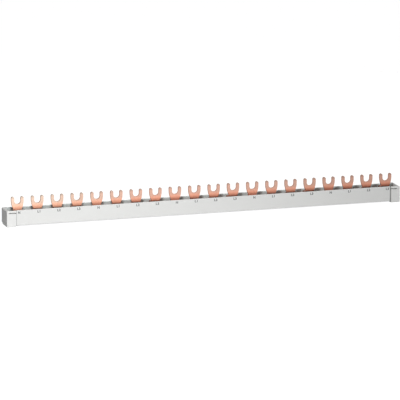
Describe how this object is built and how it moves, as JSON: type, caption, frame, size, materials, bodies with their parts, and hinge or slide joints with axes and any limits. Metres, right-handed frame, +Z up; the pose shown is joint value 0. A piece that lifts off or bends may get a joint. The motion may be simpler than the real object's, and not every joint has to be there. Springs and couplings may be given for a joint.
{
  "type": "comb busbar",
  "caption": "Comb busbar: grey insulating channel holding stamped copper combs whose U-shaped forks stand in one row, closed by an end cap at each end.",
  "frame": {"origin": "centre of the footprint on the surface that the end caps stand on", "axes": "+X along the bar, left to right as the printed front is read; -Y towards the printed front; +Z up, the way the forks point"},
  "size_m": [0.3648, 0.0188, 0.0256],
  "materials": {
    "channel_plastic": "fine satin, extruded rigid PVC",
    "cap_plastic": "fine satin, moulded",
    "copper": "bare stamped copper, satin"
  },
  "bodies": {
    "root": {"housing": "channel_plastic", "comb_n": "copper", "comb_l1": "copper", "comb_l2": "copper", "comb_l3": "copper", "end_cap_left": "cap_plastic", "end_cap_right": "cap_plastic"}
  },
  "joints": []
}
